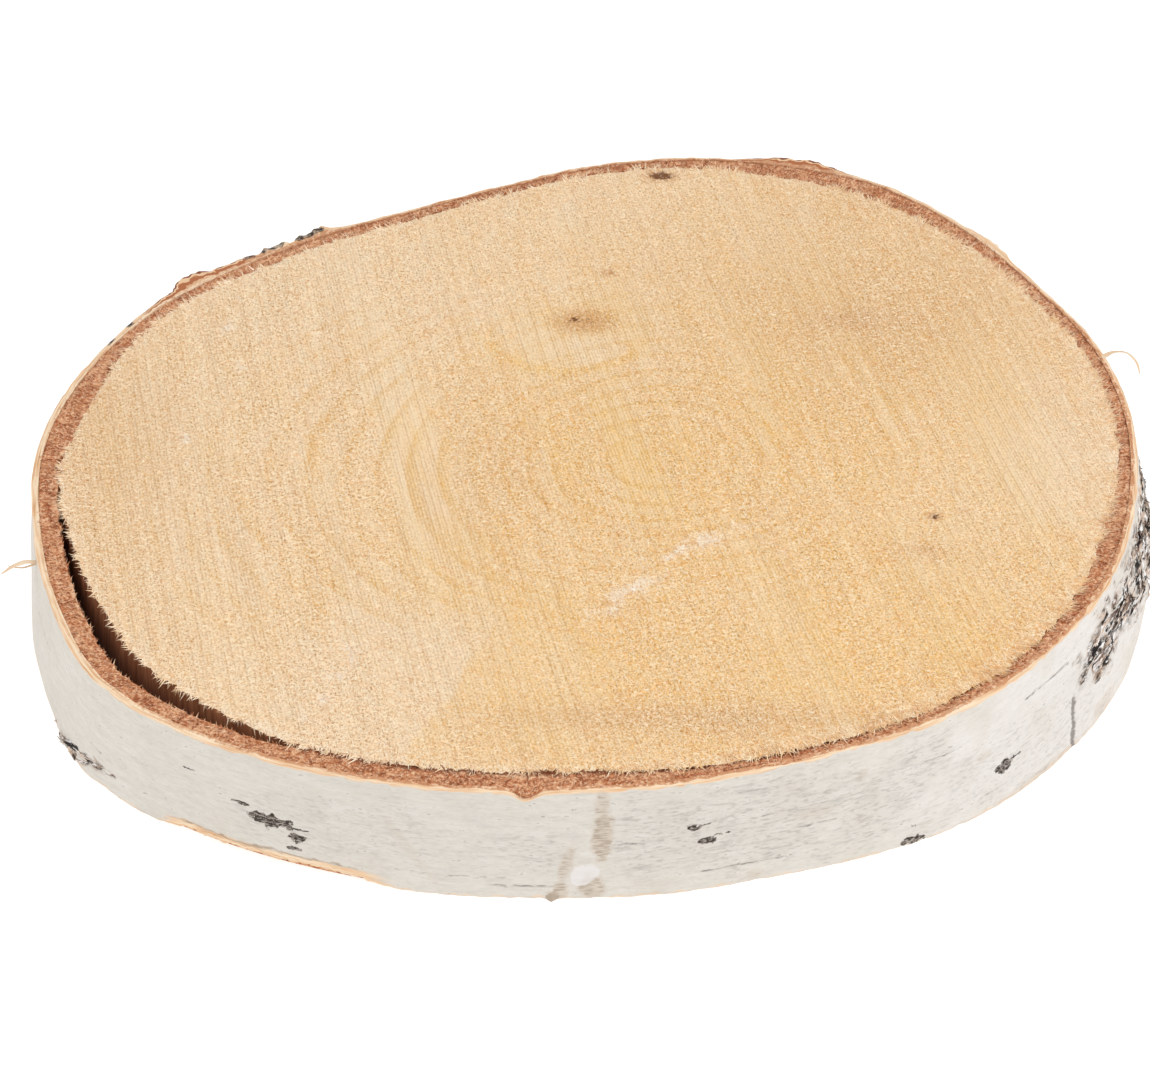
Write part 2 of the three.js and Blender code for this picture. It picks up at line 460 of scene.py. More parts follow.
def inner_bark(finish):
    """The bast: a brown ring in thin layers, crumbly where the saw tore it, which swells out over the nick.

    Where it still holds to the wood it reaches in far enough to leave no gap; painted shade darkens the seam
    there instead.
    """
    outer_heights = np.array([0, TOP - 4, TOP - 1.5, TOP])
    inner_heights = np.array([0, 5, 11, 16, 20, 23, 24.2, TOP])
    share, height = ring_section(outer_heights, 8, inner_heights, 3)
    bearing = (np.arange(INNER_BARK_COLUMNS) * 360 / INNER_BARK_COLUMNS)[None]
    inside, outside = bast_inside(height, bearing), bast_outside(height, bearing) + BAST_OVERLAP
    crack = inside - wood_edge(height, bearing)
    held = smoothstep(0.8, 0.45, crack)
    over = lip(bearing)
    inside = inside - BAST_HOLD * held - np.maximum(-over, 0)
    depth = share * (outside - inside)
    base = on_bearing(inside + depth, bearing, height)
    crumbs = 0.55 * noise(base, 1.3, 21, 3)
    near_top = smoothstep(21.5, TOP, height)
    ribs = noise(base, (1.4, 1.4, 26), 22, 2) * (share == 0)
    swelling = 1.5 * nick(bearing) * near_top * share
    torn = 0.30 * crumbs * near_top * (share < 0.9)
    vertices = on_bearing(inside + depth + torn + 0.25 * ribs + swelling, bearing, height)
    covered = np.clip(over, 0, 1) * smoothstep(0.7, 0.1, depth - over)
    vertices[..., 2] += near_top * (crumbs * 0.55 - 0.35 + 0.2 * held * (1 - share) - 0.4 * covered)
    # painted shade along the seam between bast and wood
    shade = np.zeros_like(bearing)
    for middle, half_width in SHADED_SEAMS:
        shade = np.maximum(shade, smoothstep(1.4, 0.7, np.abs(turn_between(bearing, middle)) / half_width))
    shade = 0.25 + 0.75 * shade
    layers = noise(np.stack([base[..., 0], base[..., 1], depth], -1), (7, 7, 0.8), 23, 2)
    rows, columns = vertices.shape[:2]
    attributes = {
        "crumb": near_top * (1 - covered),
        "layer": layers,
        # painted shade where the bast meets the wood
        "seam": shade * held * near_top * smoothstep(1.2, 0.5, depth - over + 0.5 * noise(base, 1.1, 24, 2)),
        "heading": np.radians(bearing + 90) + 0 * crumbs,
    }
    flat = vertices.reshape(-1, 3)
    return make_piece("bast", flat, ring_faces(rows, columns).tolist(), [finish], attributes)


# Corky plates, as rows of: bearing and height of the middle, half width in degrees, half height,
# and how many degrees the plate drifts for each millimetre of height
PLATES = [
    (-28, 14.0, 4.5, 4.6, -0.2),
    (-21, 16, 7, 6.0, -0.5),
    (-8, 16, 13, 9, -0.6),
    (-144.6, 2.2, 2.8, 2.8, 1.9),
    (144, 14, 12, 10, 0.3),
    (126, 15, 5, 8, 0.2),
    (65, 16, 5, 10, -0.2),
]
PLATE_SLANT = 0.55  # how far the strips of a plate climb for each degree
PLAIN_BEARING = 70  # the strips' seam lies opposite this bearing, where no plate is
# Marks on the white bark, as rows of the same, with a strength
SCARS = [
    (-120.6, 10.4, 2.8, 1.6, 0, 1.0),  # eye-shaped scar and its tails
    (-123.4, 12.6, 1.4, 0.4, -0.35, 0.9),
    (-117.6, 9.8, 1.2, 0.5, 0, 0.8),
    (-118.2, 7.6, 1.0, 1.3, 0, 0.75),
    (-121.2, 8.2, 0.8, 0.8, 0, 0.4),
    (-118.5, 4.6, 0.9, 0.6, 0, 0.8),
    (-129.2, 16.4, 0.8, 0.4, 0, 0.8),
    (-79.6, 14.6, 0.8, 0.8, 0, 0.9),
    (-78.7, 15.2, 0.9, 0.25, 0, 0.7),
    (-78.3, 11.2, 1.3, 0.9, 0, 0.75),
    (-76.6, 12.2, 1.0, 0.2, 0, 0.6),
    (-45.4, 7.8, 1.3, 1.5, 0, 1.0),  # star-shaped scar
    (-43.6, 8.6, 1.2, 0.4, 0, 0.7),
    (-57.0, 0.7, 1.7, 1.0, 0, 0.8),
    (-56.7, 4.0, 0.5, 0.5, 0, 0.6),
    (-31.4, 13.0, 0.7, 2.2, 0, 0.5),
    (-91.4, 20.6, 0.5, 0.4, 0, 0.6),
    (-35.0, 10.0, 0.6, 0.4, 0, 0.5),
    (20.0, 9.0, 2.2, 1.4, 0, 0.9),
    (38.0, 15.0, 1.6, 1.0, 0, 0.8),
    (92.0, 8.0, 2.6, 1.6, 0, 0.9),
    (108.0, 13.0, 1.2, 0.8, 0, 0.8),
    (172.0, 6.0, 2.0, 1.3, 0, 0.8),
]
STAINS = [
    (-88.6, 14.5, 1.2, 7.5, 0.03, 0.75),  # upright bands at the front
    (-88.6, 21.5, 0.9, 4.0, 0, 0.60),
    (-89.6, 2.6, 1.5, 3.6, 0, 0.70),
    (-92.1, 8.0, 0.8, 5.0, 0.12, 0.60),
    (-92.6, 2.0, 0.9, 2.6, 0, 0.70),
    (-107.4, 10.5, 0.9, 9.5, -0.33, 0.30),
    (-48.0, 12.5, 1.0, 1.3, 0, 0.45),
    (-67.0, 12.8, 2.6, 1.6, 0, 0.40),
    (-62.0, 18.5, 0.7, 1.5, 0.2, 0.50),
    (-93.5, 0.4, 0.7, 1.6, 0, 1.1),  # nub at the foot
    (-73.5, 1.5, 1.2, 1.4, 0, 0.5),
    (-28.0, 2.0, 3.0, 2.5, 0, 0.5),
    (-40.0, 0.5, 9.0, 1.2, 0, 0.5),
]
# The top edge at the back, where the bark is folded and flaked: bearing, and how far it stands out
LEDGE = [
    (38, 0), (39.2, 0.7), (40.1, 0.4), (41, 1.0), (42.2, 0.9), (43, 0.5), (44.5, 0.4), (46, 0), (61, 0),
    (62.4, 0.4), (63.2, 1.3), (64.4, 1.0), (65.2, 2.0), (66.6, 2.1), (67.4, 1.6), (68.6, 2.3), (69.8, 1.9),
    (70.8, 1.1), (72.4, 0.6), (74, 0), (119, 0), (121, 0.3), (123.6, 0.9), (124.2, 2.4), (124.7, 1.9),
    (125.3, 2.1), (126.1, 1.5), (126.9, 1.3), (127.5, 1.8), (128.4, 0.9), (129, 0.2), (129.5, 0.3),
    (129.8, 1.4), (130.3, 1.6), (131.3, 1.5), (132.3, 1.4), (132.6, 2.2), (133.2, 1.4), (133.8, 0.6),
    (134.2, 0.3), (134.7, 0.9), (135.4, 1.5), (136.3, 1.2), (137, 0.9), (137.8, 0.9), (138.6, 1.1),
    (139.3, 1.4), (140.4, 0.9), (140.7, 1.6), (141.3, 2.5), (142.1, 2.2), (142.4, 2.7), (143.6, 2.6),
    (145, 1.9), (145.6, 1.2), (146.3, 0.1), (147.2, 0),
]
# More marks: brown and cream layers that show in the fold, and flakes that stand up from the top edge
FOLD_LAYERS = [(143, 25, 10.5, 4, 0, 1.0), (67.5, 25, 6.0, 4, 0, 1.0)]
FLAKES_UP = [(126.6, 25, 2.6, 3, 0, 1.0), (131.6, 25, 2.3, 3, 0, 0.7), (135.2, 25, 0.8, 3, 0, 0.6),
             (154.6, 24.6, 0.9, 1.0, 0, 0.8), (158.4, 24.4, 1.0, 1.2, 0, 0.8)]
PEELS = [(-90.3, 5.4, 1.6, 2.8, 0.2, 0.8)]  # where the outermost paper is gone
CHALKY = [(-36, 12, 26, 17, 0, 1.0)]  # where the paper is whitest
# Grey clouds: partly the bark's own grey mottling, partly painted shade that darkens its front and its foot
# at the right
GREY_MOTTLES_AND_SHADE = [(-72, 13, 22, 11, 0, 0.6), (-40, 8, 20, 10, 0, 0.35), (-112, 12, 14, 8, 0, 0.3)]
# Lenticels, thin level lines in the bark, as rows of: first bearing, last bearing, height, strength
LENTICELS = [
    (-42.5, -33.5, 19.0, 0.60), (-57, -50, 16.9, 0.40), (-69.5, -64, 10.4, 0.45), (-80, -69, 4.3, 0.50),
    (-60, -55, 5.5, 0.40), (-143, -136, 8.2, 0.40), (-100.5, -93, 2.7, 0.55), (-113, -108, 14.2, 0.35),
    (-87.5, -84.5, 12.4, 0.60), (-96, -94, 19.6, 0.50), (-110, -97, 4.6, 0.40), (-76, -66, 20.6, 0.40),
    (-74, -60, 14.6, 0.35), (-52, -44, 3.6, 0.40), (-135, -128, 12.5, 0.35),
    (-29.5, -25, 18.4, 0.60), (10, 18, 15.5, 0.50), (27, 36, 7.0, 0.50), (45, 52, 18.0, 0.45),
    (76, 85, 12.0, 0.50), (95, 101, 18.0, 0.45), (110, 118, 5.0, 0.50), (158, 168, 13.0, 0.50),
    (-178, -170, 9.0, 0.45), (-160, -152, 14.0, 0.40),
]
CHIPPED_EDGE = (-134, -107, 1.5)  # where the lower edge is chipped away, and how high
NUB = (-93.5, 0.4, 1.2, 1.3)  # a nub at the foot: bearing, half width in degrees, height and relief
BROWN_EDGES = (-85, -10)  # where the cut edge is brown: at the front and back, and at the right
FOLD_BEARING = 143  # the fold at the back carries no flakes
FLAP = (-34, 12)  # edge of a loose paper flap: its bearing, and the height that it reaches


def marks(rows, bearing, height, grain):
    """How strongly a point of the bark is marked: each mark is an oval whose edge the grain breaks up."""
    total = np.zeros_like(grain)
    for middle, level, half_width, half_height, drift, strength in rows:
        turn = turn_between(bearing, middle) - drift * (height - level)
        reach = np.hypot(turn / half_width, (height - level) / half_height)
        total = np.maximum(total, strength * smoothstep(1.15, 0.6, reach + 0.5 * grain))
    return total


def lenticels(bearing, height, grain):
    total = np.zeros_like(grain)
    for first, last, level, strength in LENTICELS:
        half = (last - first) / 2
        turn = np.abs(turn_between(bearing, first + half))
        thin = np.exp(-((height - level - 0.2 * grain) / 0.32) ** 2)
        total = np.maximum(total, strength * thin * smoothstep(half + 0.4, half - 1.2, turn + grain))
    return total


def outer_bark(finish):
    """The white bark sheet: its cut edges, corky plates, folds, scars, lenticels and loose flap."""
    share, height = ring_section(np.linspace(0, TOP, 54), 5, np.linspace(0, TOP, 6), 2)
    bearing = (np.arange(OUTER_BARK_COLUMNS) * 360 / OUTER_BARK_COLUMNS)[None]
    inside, outside = bark_inside(height, bearing), bark_outside(height, bearing)
    base = on_bearing(inside + share * (outside - inside), bearing, height)
    grain = noise(base, (1.1, 1.1, 0.8), 45, 2)
    coarse = noise(base, (2.4, 2.4, 1.6), 46, 2)
    slanted = height - PLATE_SLANT * turn_between(bearing, PLAIN_BEARING) + 0 * grain
    strips = noise(np.stack([base[..., 0], base[..., 1], slanted], -1), (5, 5, 1.5), 51, 3)
    plate = marks([(*row, 1.0) for row in PLATES], bearing, height, 0.9 * coarse)
    plate = plate * smoothstep(TOP - 0.6, TOP - 1.6, height)
    scar = marks(SCARS, bearing, height, 0.7 * grain)
    ledge = np.interp(bearing, *np.array(LEDGE).T) * smoothstep(13, 21, height)
    upright = marks(FLAKES_UP, bearing, height, 0.6 * coarse) * smoothstep(0.35, 0.62, share)
    first, last, chip_height = CHIPPED_EDGE
    signed = turn_between(bearing, 0)
    chipped = smoothstep(first, first + 5, signed) * smoothstep(last, last - 8, signed)
    flap_bearing, flap_top = FLAP
    flap_turn = turn_between(bearing, flap_bearing) - 0.06 * (height - 6) + 0.25 * coarse
    flap_reach = smoothstep(flap_top, flap_top - 2, height)
    flap = smoothstep(-0.3, 0.1, flap_turn) * smoothstep(9, 2, flap_turn) * flap_reach
    # painted shade: a dark line at the foot of the loose flap's edge
    flap_line = np.exp(-((flap_turn + 0.25) / 0.3) ** 2) * flap_reach
    nub_bearing, nub_width, nub_height, nub_relief = NUB
    nub = np.exp(-(turn_between(bearing, nub_bearing) / nub_width) ** 2 - (height / nub_height) ** 2)

    relief = 0.22 * noise(base, (16, 16, 7), 41, 2) + 0.03 * noise(base, (6, 6, 1.2), 42)
    relief += 0.9 * plate * strips + 0.4 * scar * grain + 0.35 * flap + nub_relief * nub
    relief += ledge * (1 + 0.15 * grain)
    relief -= 0.15 * lenticels(bearing, height, grain)
    radius = inside + share * (outside - inside + relief)
    vertices = on_bearing(radius, bearing, height)
    at_top = smoothstep(TOP - 2, TOP, height)
    lift = chip_height * chipped * (1 + 0.3 * grain) + 0.25 * np.abs(coarse) * (share == 1)
    vertices[..., 2] += lift * (1 - height / TOP) ** 6
    vertices[..., 2] -= NICK[2] * nick(bearing) * smoothstep(16, TOP, height)
    vertices[..., 2] += at_top * (0.18 * noise(base, 2.5, 43, 2) + 0.4 * upright * coarse - 0.3 * share)

    rim = smoothstep(TOP - 0.5, TOP - 0.2, height + 0.12 * coarse) * smoothstep(-0.5, 0.1, coarse)
    foot = 0.35 * smoothstep(0.7, 0.2, height + 0.5 * coarse)
    foot = foot + chipped * smoothstep(2.6, 1.7, height + 0.3 * coarse)
    foot_line = chipped * np.exp(-((height - 2.3 - 0.4 * coarse) / 0.4) ** 2)
    inner_side = (share < 1) * np.ones_like(grain)
    front, right = BROWN_EDGES
    browned = np.maximum(np.cos(np.radians(bearing - front)) ** 2,
                         smoothstep(60, 30, np.abs(turn_between(bearing, right))))
    edge_only = np.where(share == 1, smoothstep(TOP - 1.6, TOP - 0.8, height + 0.4 * coarse), 1)
    flaky = (share == 1) * smoothstep(TOP - 1, TOP - 5, height)
    flaky = flaky * smoothstep(16, 20, np.abs(turn_between(bearing, FOLD_BEARING)))
    attributes = {
        "cream": np.clip(np.maximum.reduce([rim, foot, inner_side]), 0, 1),
        "char": np.clip(np.maximum(scar, upright * edge_only), 0, 1),
        "brown": smoothstep(0.75, 0.35, share + 0.25 * coarse) * (height == TOP) * browned,
        "plate": plate,
        "slanted": slanted,
        "sheet": share * (outside - inside + relief) - height,
        "tan": np.maximum(marks(STAINS, bearing, height, 0.5 * grain), foot_line),
        "peel": marks(PEELS, bearing, height, 0.35 * coarse),
        "layers": share + 0 * grain,
        "fold": marks(FOLD_LAYERS, bearing, height, 0.5 * coarse) * edge_only,
        "chalk": marks(CHALKY, bearing, height, 0.3 * coarse),
        # grey mottling, partly painted shade on the front and foot
        "grey": marks(GREY_MOTTLES_AND_SHADE, bearing, height, 0.8 * noise(base, 9, 53, 2)),
        # lenticels, and painted shade along the loose flap's edge
        "smudge": np.maximum(lenticels(bearing, height, grain), 0.7 * flap_line),
        "flake": plate * smoothstep(-0.3, 0.3, strips) * flaky,
        "heading": np.radians(bearing) + 0 * grain,
    }
    rows, columns = vertices.shape[:2]
    flat = vertices.reshape(-1, 3)
    return make_piece("white_bark", flat, ring_faces(rows, columns).tolist(), [finish], attributes)


# Torn curls of bark: the points that each follows, from root to tip, and its half width at the root
CURLS = [
    (((104.5, 32.0, 24.6), (107.5, 33.5, 25.6), (110.5, 32.6, 26.0), (112.3, 29.8, 25.2),
      (112.6, 27.6, 24.0)), 0.75),
    (((-107.0, -36.5, 23.0), (-110.0, -36.7, 23.6), (-112.6, -38.4, 23.6), (-114.6, -39.8, 22.8)), 0.9),
    (((-107.5, -35.0, 22.2), (-110.6, -36.2, 21.6), (-113.0, -37.0, 22.4), (-113.9, -37.4, 23.4)), 0.35),
    (((108.0, -27.0, 10.5), (110.5, -28.5, 9.6), (112.0, -30.0, 8.2)), 0.7),
]
CURL_STEPS = 22
CURL_THICKNESS = 0.18


def torn_curls(finish):
    """Thin strips that have torn loose from the bark and curl away from it, each tapering to its tip."""
    vertices, faces = [], []
    for points, half_width in CURLS:
        points = np.array(points)
        places = np.linspace(0, len(points) - 1, CURL_STEPS)
        line = np.stack([np.interp(places, np.arange(len(points)), axis) for axis in points.T], -1)
        for _ in range(4):
            line[1:-1] = (line[:-2] + 2 * line[1:-1] + line[2:]) / 4
        onward = np.gradient(line, axis=0)
        onward /= np.linalg.norm(onward, axis=1)[:, None]
        side = np.cross(onward, (0.3, 0.2, 1))
        side /= np.linalg.norm(side, axis=1)[:, None]
        above = np.cross(side, onward)
        taper = (1 - 0.85 * np.linspace(0, 1, CURL_STEPS) ** 1.5)[:, None]
        wide, thick = half_width * taper * side, CURL_THICKNESS * taper * above
        first = sum(len(part) for part in vertices)
        vertices.append(np.stack([line - wide, line - thick, line + wide, line + thick], 1).reshape(-1, 3))
        index = first + np.arange(CURL_STEPS * 4).reshape(CURL_STEPS, 4)
        for corner in range(4):
            after = (corner + 1) % 4
            faces += np.stack([index[:-1, corner], index[:-1, after],
                               index[1:, after], index[1:, corner]], -1).tolist()
        faces += [index[0, ::-1].tolist(), index[-1].tolist()]
    vertices = np.concatenate(vertices)
    every = np.ones(len(vertices))
    return make_piece("torn_curls", vertices, faces, [finish], {"cream": every, "tan": 0.35 * every})


# Geometry nodes: slivers strewn over a surface

def add(tree, kind, inputs=None, **settings):
    """Adds a node with its settings, and fills or links its inputs by name or number."""
    node = tree.nodes.new(kind)
    for name, value in settings.items():
        setattr(node, name, value)
    for key, value in (inputs or {}).items():
        if isinstance(value, bpy.types.NodeSocket):
            tree.links.new(value, node.inputs[key])
        else:
            node.inputs[key].default_value = value
    return node


SCATTER_INPUTS = {
    "Surface": "NodeSocketGeometry",
    "Per square metre": "NodeSocketFloat",
    "Where": "NodeSocketString",
    "Heading": "NodeSocketString",
    "Heading spread": "NodeSocketFloat",
    "Least tilt": "NodeSocketFloat",
    "Most tilt": "NodeSocketFloat",
    "Length": "NodeSocketFloat",
    "Half width": "NodeSocketFloat",
    "Sides": "NodeSocketInt",
    "Seed": "NodeSocketInt",
    "Finish": "NodeSocketMaterial",
}
SLIVER_SIZES = (0.5, 1.25)  # smallest and largest, as shares of the full size
RANDOM_LEAST, RANDOM_MOST, RANDOM_OUT = 2, 3, 1  # a random value's number sockets


def scatter_tree():
    """Strews tapered slivers over a surface, thicker where a value says so, each with a tone of its own."""
    tree = bpy.data.node_groups.new("strewn_slivers", "GeometryNodeTree")
    for name, kind in SCATTER_INPUTS.items():
        tree.interface.new_socket(name, in_out="INPUT", socket_type=kind)
    tree.interface.new_socket("Slivers", in_out="OUTPUT", socket_type="NodeSocketGeometry")
    given = add(tree, "NodeGroupInput").outputs

    def drawn_between(least, most, offset):
        """A random number for each sliver, from a seed that lies some way from the given one."""
        seed = add(tree, "ShaderNodeMath", {0: given["Seed"], 1: offset}, operation="ADD").outputs[0]
        return add(tree, "FunctionNodeRandomValue",
                   {RANDOM_LEAST: least, RANDOM_MOST: most, "Seed": seed}).outputs[RANDOM_OUT]

    where = add(tree, "GeometryNodeInputNamedAttribute", {"Name": given["Where"]}, data_type="FLOAT")
    density = add(tree, "ShaderNodeMath", {0: where.outputs[0], 1: given["Per square metre"]},
                  operation="MULTIPLY")
    points = add(tree, "GeometryNodeDistributePointsOnFaces",
                 {"Mesh": given["Surface"], "Density": density.outputs[0], "Seed": given["Seed"]})
    toned = add(tree, "GeometryNodeStoreNamedAttribute",
                {"Geometry": points.outputs["Points"], "Name": "tone",
                 "Value": drawn_between(-1.0, 1.0, 0.0)})
    back = add(tree, "ShaderNodeMath", {0: given["Heading spread"], 1: -1.0}, operation="MULTIPLY")
    stray = drawn_between(back.outputs[0], given["Heading spread"], 303.0)
    way = add(tree, "GeometryNodeInputNamedAttribute", {"Name": given["Heading"]}, data_type="FLOAT")
    heading = add(tree, "ShaderNodeMath", {0: way.outputs[0], 1: stray}, operation="ADD")
    yaw = add(tree, "ShaderNodeCombineXYZ", {"Z": heading.outputs[0]})
    turned = add(tree, "FunctionNodeEulerToRotation", {0: yaw.outputs[0]})
    upright = add(tree, "FunctionNodeAlignRotationToVector",
                  {"Rotation": turned.outputs[0], "Vector": points.outputs["Normal"]}, axis="Z")
    pitch = add(tree, "ShaderNodeCombineXYZ",
                {"X": drawn_between(given["Least tilt"], given["Most tilt"], 101.0)})
    lean = add(tree, "FunctionNodeEulerToRotation", {0: pitch.outputs[0]})
    leaning = add(tree, "FunctionNodeRotateRotation",
                  {"Rotation": upright.outputs[0], "Rotate By": lean.outputs[0]}, rotation_space="LOCAL")
    sliver = add(tree, "GeometryNodeMeshCone",
                 {"Vertices": given["Sides"], "Side Segments": 1, "Radius Top": 0.0,
                  "Radius Bottom": given["Half width"], "Depth": given["Length"]})
    placed = add(tree, "GeometryNodeInstanceOnPoints",
                 {"Points": toned.outputs[0], "Instance": sliver.outputs["Mesh"],
                  "Rotation": leaning.outputs[0], "Scale": drawn_between(*SLIVER_SIZES, 202.0)})
    whole = add(tree, "GeometryNodeRealizeInstances", {"Geometry": placed.outputs[0]})
    finished = add(tree, "GeometryNodeSetMaterial",
                   {"Geometry": whole.outputs[0], "Material": given["Finish"]})
    add(tree, "NodeGroupOutput", {0: finished.outputs[0]})
    return tree


def strew(tree, surface, finish, row):
    """Runs the scatter over a piece's surface and keeps the slivers as a plain mesh."""
    name, where, density, spread, least_tilt, most_tilt, length, half_width, sides, seed = row
    values = {
        "Per square metre": density, "Where": where, "Heading": "heading", "Heading spread": spread,
        "Least tilt": math.radians(least_tilt), "Most tilt": math.radians(most_tilt), "Length": length * MM,
        "Half width": half_width * MM, "Sides": sides, "Seed": seed, "Finish": finish,
    }
    host = bpy.data.objects.new(name + "_host", surface.data)
    bpy.context.scene.collection.objects.link(host)
    modifier = host.modifiers.new("scatter", "NODES")
    modifier.node_group = tree
    for item in tree.interface.items_tree:
        if item.in_out == "INPUT" and item.name in values:
            modifier[item.identifier] = values[item.name]
    evaluated = host.evaluated_get(bpy.context.evaluated_depsgraph_get())
    piece = bpy.data.objects.new(name, bpy.data.meshes.new_from_object(evaluated))
    bpy.data.objects.remove(host)
    bpy.context.scene.collection.objects.link(piece)
    return piece


# Materials

def colour(code):
    """A linear colour from an sRGB hex value."""
    channels = [int(code[start:start + 2], 16) / 255 for start in (1, 3, 5)]
    return (*[c / 12.92 if c <= 0.04045 else ((c + 0.055) / 1.055) ** 2.4 for c in channels], 1)


FACTOR, COLOUR_A, COLOUR_B, COLOUR_OUT = 0, 6, 7, 2  # a colour mix's sockets


def new_material(name, carried=()):
    """A material and its node tree, with Object coordinates in millimetres and the points' values."""
    material = bpy.data.materials.new(name)
    material.use_nodes = True
    tree = material.node_tree
    place = add(tree, "ShaderNodeTexCoord").outputs["Object"]
    in_mm = add(tree, "ShaderNodeVectorMath", {0: place, "Scale": 1 / MM}, operation="SCALE").outputs[0]
    worn = {label: add(tree, "ShaderNodeAttribute", attribute_name=label).outputs["Fac"]
            for label in carried}
    return material, tree, in_mm, worn


def tinted(tree, ground, rows):
    """A ground colour with others laid over it in turn.

    Each row holds a mask or None, a value, where the colour starts and is full, its greatest share, and
    the colour.
    """
    tint = colour(ground)
    for mask, value, start, full, most, code in rows:
        share = add(tree, "ShaderNodeMapRange",
                    {"Value": value, "From Min": start, "From Max": full, "To Max": most}).outputs[0]
        if mask is not None:
            share = add(tree, "ShaderNodeMath", {0: share, 1: mask}, operation="MULTIPLY").outputs[0]
        tint = add(tree, "ShaderNodeMix", {FACTOR: share, COLOUR_A: tint, COLOUR_B: colour(code)},
                   data_type="RGBA").outputs[COLOUR_OUT]
    return tint


def dress(material, tint, roughness, gloss, heights, strength, depth):
    """Gives a material its colour, roughness and gloss, and bumps of some strength and depth."""
    tree = material.node_tree
    shader = tree.nodes["Principled BSDF"]
    tree.links.new(tint, shader.inputs["Base Color"])
    shader.inputs["Roughness"].default_value = roughness
    shader.inputs["Specular IOR Level"].default_value = gloss
    bump = add(tree, "ShaderNodeBump", {"Height": heights, "Strength": strength, "Distance": depth * MM})
    tree.links.new(bump.outputs[0], shader.inputs["Normal"])
    return material


STROKE_TURNS = (12, 74, 133)  # ways that the torn fibres lie, in degrees
STROKE_SIZE = (0.23, 0.85)  # width and length of a torn fibre
SAW_LINE_LENGTH = 70
SAW_TOOTH_SPACING = 0.65
PATCH_SIZE = (1.8, 10)  # across and along the saw lines


